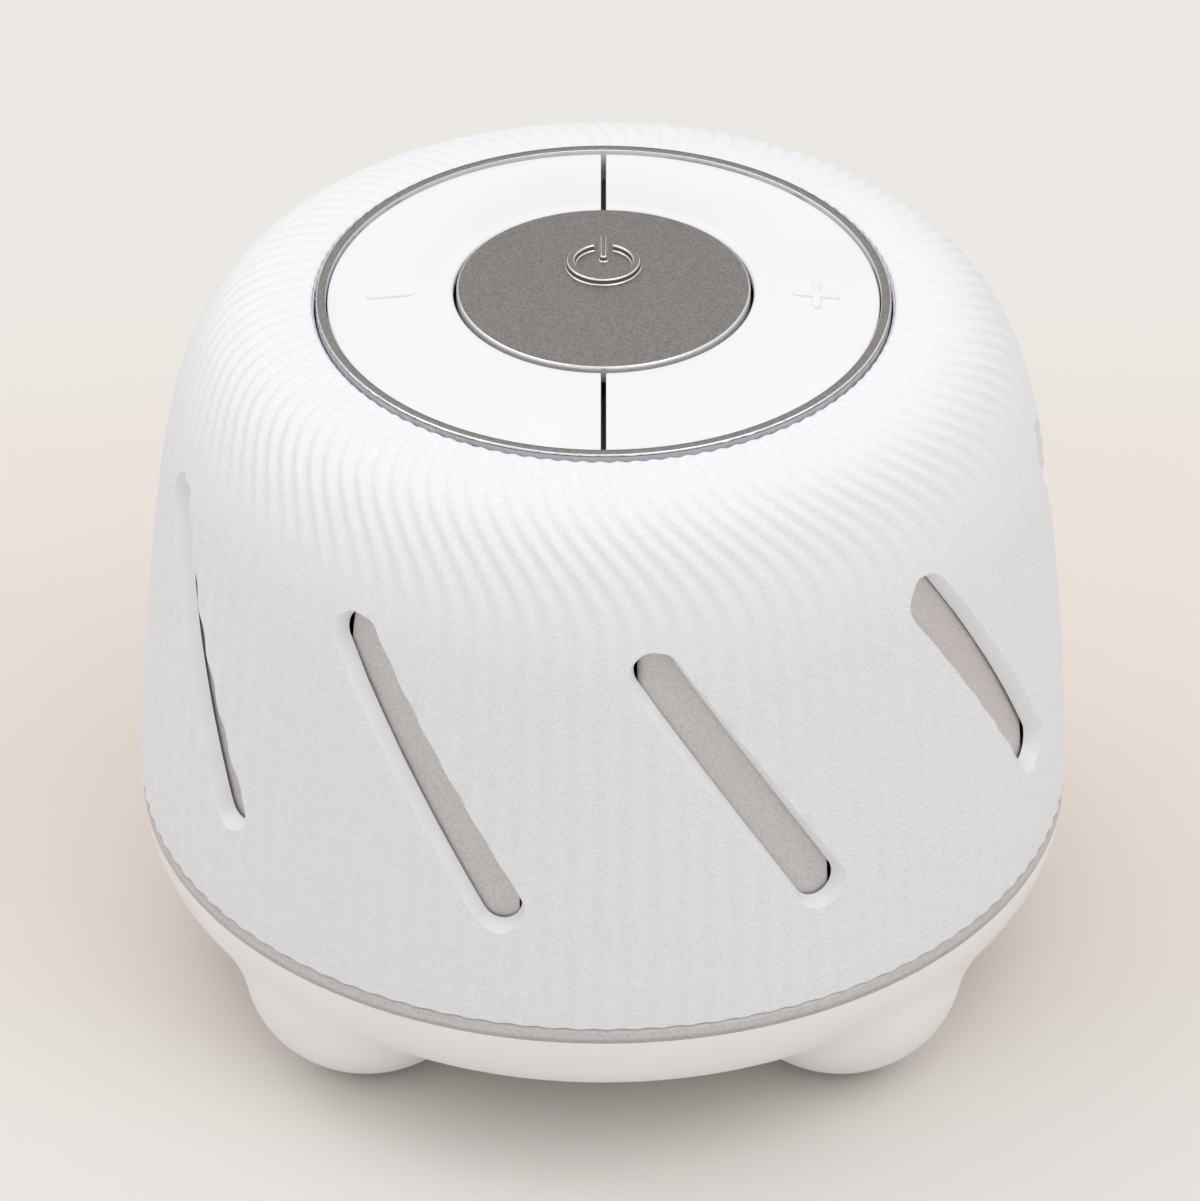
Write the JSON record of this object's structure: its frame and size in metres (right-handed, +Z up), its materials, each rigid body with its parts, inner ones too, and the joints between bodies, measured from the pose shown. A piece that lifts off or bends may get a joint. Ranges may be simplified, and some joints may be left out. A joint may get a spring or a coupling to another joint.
{
  "type": "white noise sound machine",
  "caption": "Round fan-type white noise machine: ribbed cover that turns over a windowed drum, ring of touch-down buttons on top, bowl base on rounded feet.",
  "frame": {"origin": "centre of the circle that the foot pads stand in, on the table", "axes": "+Z up the axis that the cover turns about, -Y the front (the split between the side buttons runs along Y, minus at -X, plus at +X), +Y out of the power inlet"},
  "size_m": [0.14, 0.14, 0.1141],
  "materials": {
    "ribbed_white_shell": "fine-grained moulded ABS, ribbed",
    "silver_drum": "metallic silver paint, satin",
    "silver_trim": "satin silver, bright edges",
    "silver_button": "metallic silver paint, satin",
    "white_button": "satin white ABS",
    "white_base": "satin white ABS",
    "grey_rubber": "moulded",
    "black_rubber": "moulded",
    "zinc_screws": "zinc plated",
    "zinc_plate": "zinc plated sheet",
    "black_plastic": "moulded",
    "grey_plastic": "moulded",
    "cream_plastic": "moulded nylon",
    "nickel_contact": "nickel plated",
    "brass_contact": "stamped",
    "green_board": "solder mask",
    "capacitor_sleeve": "shrink sleeve",
    "red_insulation": "PVC",
    "black_insulation": "PVC",
    "motor_steel": "drawn can",
    "ferrite": "sintered",
    "ground_steel": "ground",
    "iron_laminations": "stamped stack",
    "copper_segments": "turned",
    "grey_fan_plastic": "moulded"
  },
  "bodies": {
    "chassis": {"inner_drum": "silver_drum", "base_shell": "white_base", "foot_pads": "grey_rubber", "base_screws": "zinc_screws", "intake_grille": "white_base", "grille_screws": "zinc_screws", "dc_jack_body": "black_plastic", "dc_jack_pin": "nickel_contact", "dc_jack_board": "green_board", "dc_jack_board_screws": "zinc_screws", "top_deck": "black_plastic", "deck_screws": "zinc_screws", "bezel_ring": "silver_trim", "button_board": "green_board", "button_board_screws": "zinc_screws", "power_switch": "black_plastic", "minus_switch": "black_plastic", "plus_switch": "black_plastic", "switch_stems": "grey_plastic", "control_chip": "black_plastic", "motor_driver_chip": "black_plastic", "smoothing_capacitor": "capacitor_sleeve", "power_connector": "cream_plastic", "motor_connector": "cream_plastic", "power_wire_red": "red_insulation", "power_wire_black": "black_insulation", "motor_wire_red": "red_insulation", "motor_wire_black": "black_insulation", "motor_can": "motor_steel", "motor_magnets": "ferrite", "motor_end_cap": "black_plastic", "motor_terminals": "brass_contact", "motor_bracket": "zinc_plate", "motor_screws": "zinc_screws", "motor_grommets": "black_rubber", "motor_post_screws": "zinc_screws"},
    "cover": {"outer_cover": "ribbed_white_shell"},
    "minus": {"minus_button": "white_button"},
    "plus": {"plus_button": "white_button"},
    "power": {"power_button": "silver_button"},
    "fan": {"fan_wheel": "grey_fan_plastic", "fan_push_nut": "zinc_screws", "motor_shaft": "ground_steel", "rotor_core": "iron_laminations", "commutator": "copper_segments"}
  },
  "joints": [
    {"name": "cover_turn", "type": "hinge", "parent": "chassis", "child": "cover", "pos_m": [0, 0, 0.03], "axis": [0, 0, 1], "range_deg": [0, 20]},
    {"name": "minus_press", "type": "slide", "parent": "chassis", "child": "minus", "axis": [0, 0, -1], "range_m": [0, 0.0005], "stiffness_N_per_m": 400, "springref_m": -0.002},
    {"name": "plus_press", "type": "slide", "parent": "chassis", "child": "plus", "axis": [0, 0, -1], "range_m": [0, 0.0005], "stiffness_N_per_m": 400, "springref_m": -0.002},
    {"name": "power_press", "type": "slide", "parent": "chassis", "child": "power", "axis": [0, 0, -1], "range_m": [0, 0.0005], "stiffness_N_per_m": 400, "springref_m": -0.002},
    {"name": "fan_spin", "type": "hinge", "parent": "chassis", "child": "fan", "pos_m": [0, 0, 0.05], "axis": [0, 0, 1], "continuous": true}
  ]
}
